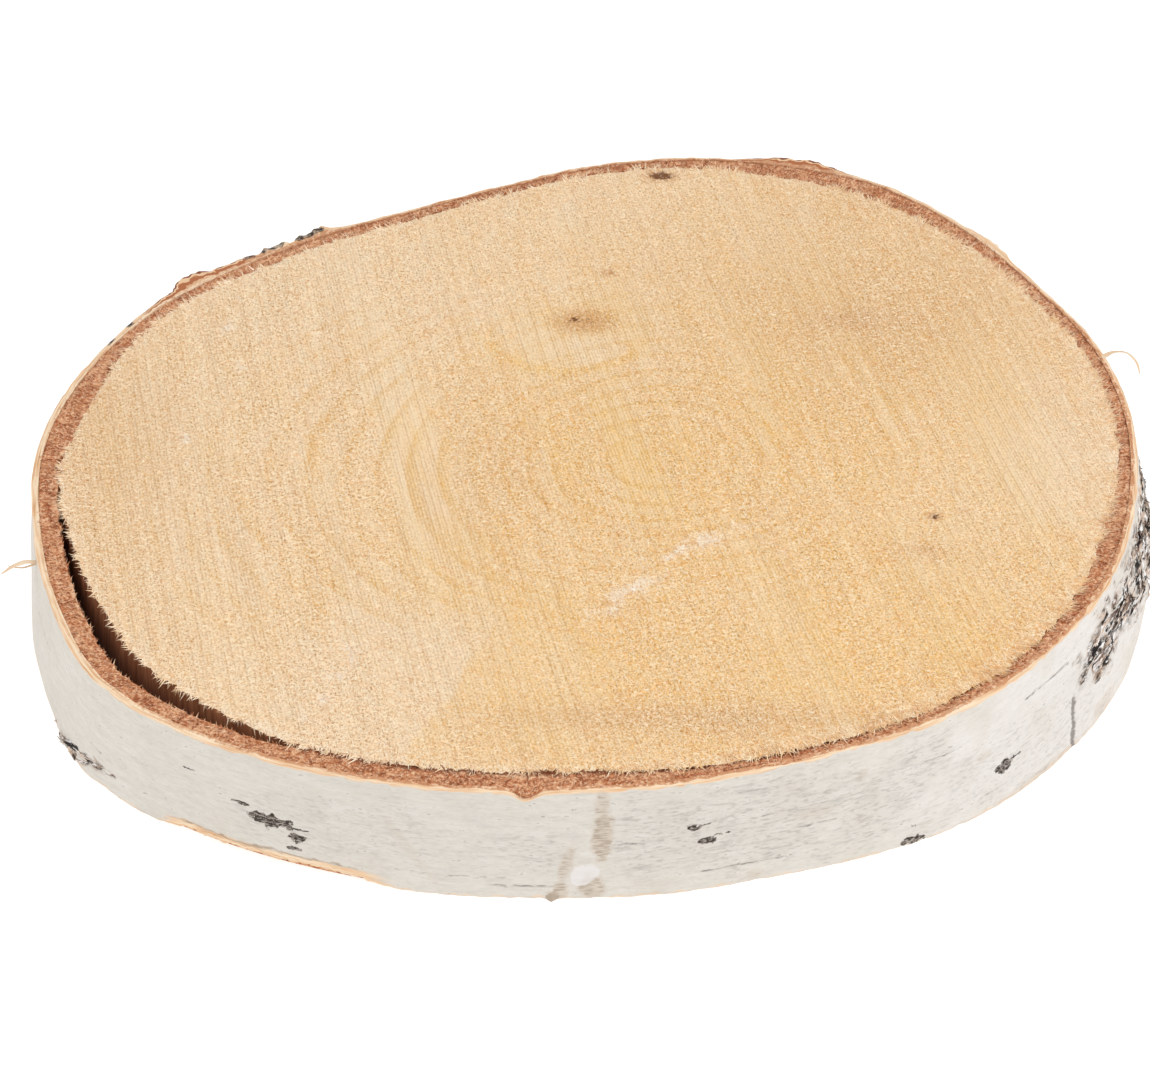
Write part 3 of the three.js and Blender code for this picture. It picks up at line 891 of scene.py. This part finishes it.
def sawn_birch():
    """Sawn birch end grain: dry and matt, cream to honey, with faint rings, saw lines, and torn fibres drawn
    with painted highlights and painted shade.
    """
    material, tree, in_mm, worn = new_material("sawn_birch_end_grain", (
        "honey", "dusky", "tone", "ring", "ring_clear", "saw", "nap", "bare", "knot", "tuft", "pale_rim"))
    flat = add(tree, "ShaderNodeVectorMath", {0: in_mm, 1: (1, 1, 0)}, operation="MULTIPLY").outputs[0]

    # Growth rings: each darkens slowly outwards and ends at once
    phase = add(tree, "ShaderNodeMath", {0: worn["ring"]}, operation="FRACT").outputs[0]
    late, early = [add(tree, "ShaderNodeMapRange", {"Value": phase, "From Min": start, "From Max": full},
                       interpolation_type="SMOOTHSTEP").outputs[0]
                   for start, full in ((0.25, 0.85), (1.0, 0.86))]
    ring = add(tree, "ShaderNodeMath", {0: late, 1: early}, operation="MULTIPLY").outputs[0]
    ring_tint = add(tree, "ShaderNodeMath", {0: ring, 1: 0.35}, operation="SUBTRACT").outputs[0]
    ring_tint = add(tree, "ShaderNodeMath", {0: ring_tint, 1: worn["ring_clear"]},
                    operation="MULTIPLY").outputs[0]

    # Saw lines: fine lines drawn out along the cut, which show where few fibres cover them
    along = add(tree, "ShaderNodeSeparateXYZ", {0: in_mm}).outputs["Y"]
    onward = add(tree, "ShaderNodeMath", {0: along, 1: 1 / SAW_LINE_LENGTH}, operation="MULTIPLY").outputs[0]
    cut = add(tree, "ShaderNodeCombineXYZ", {"X": worn["saw"], "Y": onward}).outputs[0]
    uneven = add(tree, "ShaderNodeTexNoise",
                 {"Vector": cut, "Scale": 1, "Detail": 2, "Roughness": 0.65}).outputs[0]
    turns = add(tree, "ShaderNodeMath", {0: worn["saw"], 1: 2 * math.pi / SAW_TOOTH_SPACING},
                operation="MULTIPLY").outputs[0]
    teeth = add(tree, "ShaderNodeMath", {0: turns}, operation="SINE").outputs[0]
    saw = add(tree, "ShaderNodeMath", {0: teeth, 1: 0.12, 2: uneven}, operation="MULTIPLY_ADD").outputs[0]

    # Torn fibres: a felt of short strokes that wander every way, with pale strokes as painted highlights on
    # the fibres and dark strokes as painted shade between them; slivers, which have a tone, stay smooth
    swirl = add(tree, "ShaderNodeTexNoise", {"Vector": flat, "Scale": 1 / 2.2, "Detail": 1}).outputs["Color"]
    warped = add(tree, "ShaderNodeVectorMath", {0: swirl, 1: (1.3, 1.3, 0), 2: flat},
                 operation="MULTIPLY_ADD").outputs[0]
    strokes = []
    for turn in STROKE_TURNS:
        drawn = add(tree, "ShaderNodeMapping",
                    {"Vector": warped, "Location": (turn, 0, 0), "Rotation": (0, 0, math.radians(turn)),
                     "Scale": (*STROKE_SIZE, 1)}, vector_type="TEXTURE").outputs[0]
        stroke = add(tree, "ShaderNodeTexNoise", {"Vector": drawn, "Scale": 1, "Detail": 1}).outputs[0]
        strokes.append(stroke)
    brightest = darkest = strokes[0]
    for stroke in strokes[1:]:
        brightest = add(tree, "ShaderNodeMath", {0: brightest, 1: stroke}, operation="MAXIMUM").outputs[0]
        darkest = add(tree, "ShaderNodeMath", {0: darkest, 1: stroke}, operation="MINIMUM").outputs[0]
    flat_face = add(tree, "ShaderNodeMath", {0: worn["tone"], 1: 0, 2: 0.001},
                    operation="COMPARE").outputs[0]
    flat_nap = add(tree, "ShaderNodeMath", {0: worn["nap"], 1: flat_face}, operation="MULTIPLY").outputs[0]

    # Patches of a few millimetres that are more or less honey-coloured, drawn out along the saw lines
    patch = add(tree, "ShaderNodeMapping",
                {"Vector": flat, "Rotation": (0, 0, math.radians(SAW_LINE_TURN)), "Scale": (*PATCH_SIZE, 1)},
                vector_type="TEXTURE").outputs[0]
    patch = add(tree, "ShaderNodeTexNoise",
                {"Vector": patch, "Scale": 1, "Detail": 3, "Roughness": 0.6}).outputs[0]
    patch = add(tree, "ShaderNodeMapRange",
                {"Value": patch, "From Min": 0.25, "From Max": 0.75, "To Min": -0.26,
                 "To Max": 0.26}).outputs[0]
    honey = add(tree, "ShaderNodeMath", {0: worn["honey"], 1: patch}, operation="ADD").outputs[0]
    honey = add(tree, "ShaderNodeMath", {0: ring_tint, 1: 0.45, 2: honey}, operation="MULTIPLY_ADD",
                use_clamp=True).outputs[0]

    # Knots: amber and rough, with dark specks at the middle
    grit = add(tree, "ShaderNodeTexNoise", {"Vector": warped, "Scale": 1 / 0.7, "Detail": 2}).outputs[0]
    knot = add(tree, "ShaderNodeMath", {0: grit, 1: 1.2, 2: worn["knot"]},
               operation="MULTIPLY_ADD").outputs[0]

    tint = tinted(tree, "#fde1bd", (
        (None, honey, 0, 1, 1, "#facb80"),
        (None, worn["dusky"], 0, 1, 1, "#e2b37c"),
        (worn["ring_clear"], ring, 0.7, 1.0, 0.5, "#e6ad55"),
        (worn["bare"], saw, 0.49, 0.32, 0.42, "#cf9a60"),
        (worn["bare"], saw, 0.51, 0.68, 0.40, "#fde9c8"),
        (None, knot, 0.85, 1.3, 0.75, "#cf8f4e"),
        # painted shade between the torn fibres, then painted highlights on them
        (flat_nap, darkest, 0.44, 0.30, 0.78, "#b2782f"),
        (worn["nap"], brightest, 0.55, 0.69, 0.95, "#ffeccd"),
        (None, knot, 1.45, 1.7, 0.9, "#6f4022"),
        (worn["pale_rim"], brightest, 0.46, 0.62, 0.3, "#fff2de"),
        (worn["tuft"], brightest, 0.46, 0.62, 1, "#fffaf0"),
        (None, worn["tone"], 0, 1, 0.9, "#fff0d6"),
        (None, worn["tone"], 0, -1, 0.30, "#d5a466"),
    ))
    heights = add(tree, "ShaderNodeMath", {0: brightest, 1: saw}, operation="ADD").outputs[0]
    strength = add(tree, "ShaderNodeMath", {0: flat_face, 1: 0.9}, operation="MULTIPLY").outputs[0]
    return dress(material, tint, 0.85, 0.25, heights, strength, 0.4)


def cambium_wall_with_painted_shade():
    """The wood's outer wall where the bark left it: ribbed and reddish brown, with painted shade that
    darkens it deep in the crack.
    """
    material, tree, in_mm, _ = new_material("birch_cambium_wall")
    drawn = add(tree, "ShaderNodeVectorMath", {0: in_mm, 1: (1, 1, 0.05)}, operation="MULTIPLY").outputs[0]
    ribs = add(tree, "ShaderNodeTexNoise", {"Vector": drawn, "Scale": 1 / 0.8, "Detail": 3}).outputs[0]
    height = add(tree, "ShaderNodeSeparateXYZ", {0: in_mm}).outputs["Z"]
    tint = tinted(tree, "#7b4628", (
        (None, ribs, 0.3, 0.7, 1, "#a8704a"),
        # painted shade: darker downwards, deep in the crack
        (None, height, 24, 14, 0.9, "#2a150c"),
    ))
    return dress(material, tint, 0.8, 0.5, ribs, 0.7, 0.3)


def birch_bast():
    """Birch bast, the inner bark: brown and crumbly where sawn, in thin paler and darker layers, with
    painted shade along its seam with the wood.
    """
    material, tree, in_mm, worn = new_material("birch_bast", ("tone", "layer", "seam"))
    grain = add(tree, "ShaderNodeTexNoise",
                {"Vector": in_mm, "Scale": 1 / 0.55, "Detail": 2, "Roughness": 0.6}).outputs[0]
    lump = add(tree, "ShaderNodeTexNoise", {"Vector": in_mm, "Scale": 1 / 1.5, "Detail": 1}).outputs[0]
    tint = tinted(tree, "#cb8a60", (
        (None, worn["layer"], 0.05, 0.7, 0.6, "#b87450"),
        (None, worn["layer"], -0.15, -0.8, 0.7, "#e6ba94"),
        (None, lump, 0.46, 0.32, 0.6, "#9a5430"),
        (None, lump, 0.54, 0.66, 0.6, "#ebbd94"),
        (None, grain, 0.46, 0.34, 0.70, "#8f4a26"),
        (None, grain, 0.53, 0.64, 0.78, "#f0cdaa"),
        # painted shade along the seam with the wood
        (None, worn["seam"], 0.1, 0.9, 0.85, "#6c3213"),
        (None, worn["tone"], 0.1, 1.0, 0.80, "#f4d2b0"),
        (None, worn["tone"], -0.2, -1.0, 0.55, "#8a4728"),
    ))
    return dress(material, tint, 0.9, 0.2, grain, 0.7, 0.3)


# Tints in the strips of a corky plate: offset into the pattern, where it starts and is full, its colour
PLATE_TINTS = (
    (0, 0.46, 0.54, "#d9c0ac"),
    (31, 0.50, 0.56, "#7a6254"),
    (62, 0.50, 0.55, "#1d1715"),
    (93, 0.56, 0.61, "#f4f1ef"),
)
# Patterns in the bark: length along the trunk's girth, height, and fineness
PAPER_PATTERNS = {
    "grit": (0.6, 0.6, 2), "speck": (1.0, 0.32, 2), "dash": (1.7, 0.45, 1), "tick": (2.2, 0.32, 1),
    "streak": (6, 1.1, 4), "lump": (2.5, 2.5, 2), "broad": (14, 14, 2),
}
# Marks with ragged edges: mark, pattern that breaks it up, how strongly, and where it starts and is full
RAGGED_MARKS = (
    ("char", "grit", 1.2, 1.0, 1.2),
    ("smudge", "dash", 0.8, 0.64, 0.95),
    ("tan", "tick", 1.4, 1.3, 1.6),
    ("brown", "grit", 1.2, 0.95, 1.3),
    ("peel", "lump", 1.0, 0.9, 1.1),
)
# Layers of the paper: the value that counts them, their width and their thickness
PAPER_LAYERS = (("sheet", 9, 0.4), ("slanted", 3.6, 0.65))


def birch_paper():
    """Birch cork paper: chalky white with level streaks and specks, cream where cut, black where corky."""
    material, tree, in_mm, worn = new_material("birch_cork_paper", (
        "cream", "char", "plate", "slanted", "sheet", "tan", "smudge", "grey", "fold", "layers", "brown",
        "peel", "chalk", "tone"))
    drawn = {}
    for name, (long, tall, detail) in PAPER_PATTERNS.items():
        squeezed = add(tree, "ShaderNodeVectorMath", {0: in_mm, 1: (1 / long, 1 / long, 1 / tall)},
                       operation="MULTIPLY").outputs[0]
        drawn[name] = add(tree, "ShaderNodeTexNoise",
                          {"Vector": squeezed, "Scale": 1, "Detail": detail, "Roughness": 0.6}).outputs[0]
    ragged = {}
    for name, breaker, strength, start, full in RAGGED_MARKS:
        rough = add(tree, "ShaderNodeMath", {0: drawn[breaker], 1: strength, 2: worn[name]},
                    operation="MULTIPLY_ADD").outputs[0]
        ragged[name] = add(tree, "ShaderNodeMapRange",
                           {"Value": rough, "From Min": start, "From Max": full}).outputs[0]
    sheets = {}
    for name, wide, thin in PAPER_LAYERS:
        lifted = add(tree, "ShaderNodeCombineXYZ", {"Z": worn[name]}).outputs[0]
        lifted = add(tree, "ShaderNodeVectorMath", {0: lifted, 1: (1, 1, 1 / thin)},
                     operation="MULTIPLY").outputs[0]
        sheets[name] = add(tree, "ShaderNodeVectorMath", {0: in_mm, 1: (1 / wide, 1 / wide, 0), 2: lifted},
                           operation="MULTIPLY_ADD").outputs[0]
    layer = add(tree, "ShaderNodeTexNoise", {"Vector": sheets["sheet"], "Scale": 1, "Detail": 2}).outputs[0]
    fold = add(tree, "ShaderNodeMath", {0: drawn["lump"], 1: 0.9, 2: worn["layers"]},
               operation="MULTIPLY_ADD").outputs[0]
    strips = []
    for offset, start, full, code in PLATE_TINTS:
        moved = add(tree, "ShaderNodeVectorMath", {0: sheets["slanted"], 1: (offset, 0, 0)},
                    operation="ADD").outputs[0]
        strip = add(tree, "ShaderNodeTexNoise",
                    {"Vector": moved, "Scale": 1, "Detail": 3, "Roughness": 0.6}).outputs[0]
        strips.append((worn["plate"], strip, start, full, 1, code))
    tint = tinted(tree, "#dad3c9", (
        (None, drawn["streak"], 0.50, 0.30, 0.4, "#c5c1bc"),
        (None, drawn["streak"], 0.52, 0.70, 0.4, "#e6e3df"),
        (None, worn["chalk"], 0.0, 1.0, 0.3, "#eae7e8"),
        (None, drawn["broad"], 0.50, 0.72, 0.7, "#d3cbbf"),
        # grey mottling on the bark, partly painted shade on its front and foot
        (None, worn["grey"], 0.0, 1.0, 0.35, "#c4bdb7"),
        (worn["grey"], drawn["streak"], 0.46, 0.33, 0.4, "#a39b94"),
        (worn["grey"], drawn["dash"], 0.45, 0.3, 0.5, "#8f8780"),
        (None, drawn["dash"], 0.46, 0.30, 0.12, "#a39b93"),
        (None, drawn["dash"], 0.54, 0.70, 0.2, "#efedea"),
        (None, drawn["dash"], 0.69, 0.78, 0.6, "#978b81"),
        (None, worn["cream"], 0.2, 0.6, 1.0, "#e8c19a"),
        (worn["cream"], layer, 0.45, 0.60, 1.0, "#f3dcbd"),
        (worn["cream"], layer, 0.42, 0.30, 0.9, "#cd9a6e"),
        (None, ragged["brown"], 0.0, 1.0, 0.9, "#c68a60"),
        (ragged["brown"], drawn["grit"], 0.48, 0.36, 0.7, "#94502c"),
        (ragged["brown"], drawn["speck"], 0.52, 0.64, 0.8, "#efcba8"),
        (worn["fold"], fold, 0.80, 0.86, 1.0, "#b06b43"),
        (worn["fold"], fold, 1.10, 1.16, 1.0, "#e9c49c"),
        (worn["fold"], fold, 1.30, 1.36, 1.0, "#84482c"),
        *strips,
        (None, worn["tan"], 0.1, 0.8, 0.60, "#c9b7a3"),
        (None, ragged["tan"], 0.0, 1.0, 0.6, "#98836e"),
        (None, ragged["peel"], 0.0, 1.0, 0.6, "#e9e5e4"),
        # lenticels, and painted shade along the loose flap's edge
        (None, ragged["smudge"], 0.0, 1.0, 0.8, "#77706a"),
        (None, ragged["char"], 0.0, 1.0, 0.75, "#8d8074"),
        (ragged["char"], drawn["speck"], 0.41, 0.53, 0.95, "#2b201a"),
        (None, worn["tone"], 0.2, 1.0, 0.7, "#cdb8a4"),
        (None, worn["tone"], -0.2, -1.0, 0.7, "#2d2422"),
    ))
    return dress(material, tint, 0.7, 0.3, drawn["streak"], 0.25, 0.25)


# Stage

def stage():
    """A white floor that glows faintly, as a light table does, so that shadows stay soft and pale."""
    half = FLOOR_HALF_WIDTH
    corners = np.array([(x, y, -FLOOR_CLEARANCE)
                        for x, y in ((-half, -half), (half, -half), (half, half), (-half, half))], float)
    material = bpy.data.materials.new("light_table")
    material.use_nodes = True
    shader = material.node_tree.nodes["Principled BSDF"]
    shader.inputs["Base Color"].default_value = (FLOOR_GREY, FLOOR_GREY, FLOOR_GREY, 1)
    shader.inputs["Roughness"].default_value = 1
    shader.inputs["Specular IOR Level"].default_value = 0
    shader.inputs["Emission Color"].default_value = (1, 1, 1, 1)
    shader.inputs["Emission Strength"].default_value = FLOOR_GLOW
    floor = make_piece("floor", corners, [(0, 1, 2, 3)], [material], {})

    world = bpy.data.worlds.new("white_room")
    world.use_nodes = True
    world.node_tree.nodes["Background"].inputs["Color"].default_value = (1, 1, 1, 1)
    world.node_tree.nodes["Background"].inputs["Strength"].default_value = SKY_STRENGTH
    bpy.context.scene.world = world
    bpy.context.scene.view_settings.view_transform = "Standard"

    for name, place, energy in LAMPS:
        lamp = bpy.data.lights.new(name, "AREA")
        lamp.energy = energy
        lamp.size = LAMP_SIZE * MM
        holder = bpy.data.objects.new(name, lamp)
        holder.location = Vector(place) * MM
        holder.rotation_euler = Vector(place).to_track_quat("Z", "Y").to_euler()
        bpy.context.scene.collection.objects.link(holder)


def camera():
    data = bpy.data.cameras.new("camera")
    data.lens = LENS
    data.sensor_width = SENSOR_WIDTH
    data.sensor_fit = "HORIZONTAL"
    viewer = bpy.data.objects.new("camera", data)
    elevation = math.radians(CAMERA_ELEVATION)
    x, y, z = CAMERA_AIM
    viewer.location = (x * MM, (y - CAMERA_DISTANCE * math.cos(elevation)) * MM,
                       (z + CAMERA_DISTANCE * math.sin(elevation)) * MM)
    viewer.rotation_euler = (math.radians(90 - CAMERA_ELEVATION), 0, 0)
    bpy.context.scene.collection.objects.link(viewer)
    bpy.context.scene.camera = viewer


def belongs(piece, node):
    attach(piece, "root")
    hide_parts(node)


# What lies on the pieces, as rows of: name, the value that says where, how many to a square metre, spread
# of the heading in radians, least and most tilt in degrees, length, half width, sides and seed
WOOD_SLIVERS = [
    ("wood_fibres", "stand", 1.6e6, math.pi, 72, 90, 1.2, 0.14, 3, 5),
    ("rim_bristles", "bristle", 1.6e6, 0.6, 62, 86, 1.2, 0.10, 3, 7),
    ("frayed_rim", "fray", 8e6, 1.0, 56, 84, 1.6, 0.17, 3, 8),
    ("loose_slivers", "comb", 8e6, 0.6, 76, 90, 2.4, 0.18, 3, 4),
    ("torn_tufts", "tuft", 3e6, math.pi, 62, 88, 1.6, 0.14, 3, 6),
]
BAST_SLIVERS = [("bast_crumbs", "crumb", 3e6, 1.0, 50, 88, 1.0, 0.15, 4, 9)]
BARK_SLIVERS = [("cork_flakes", "flake", 1.5e6, 0.4, 82, 92, 2.0, 0.24, 4, 12)]

camera()
stage()
end_grain = sawn_birch()
bast_finish = birch_bast()
paper_finish = birch_paper()
wood = wood_disc(end_grain, cambium_wall_with_painted_shade())
bast = inner_bark(bast_finish)
bark = outer_bark(paper_finish)
scatter = scatter_tree()
for piece, node, slot, finish, slivers in (
        (wood, "wood_disc", "wood", end_grain, WOOD_SLIVERS),
        (bast, "inner_bark", "inner_bark", bast_finish, BAST_SLIVERS),
        (bark, "outer_bark", "outer_bark", paper_finish, BARK_SLIVERS)):
    belongs(piece, node)
    for row in slivers:
        belongs(strew(scatter, piece, finish, row), node)
belongs(torn_curls(paper_finish), "outer_bark")
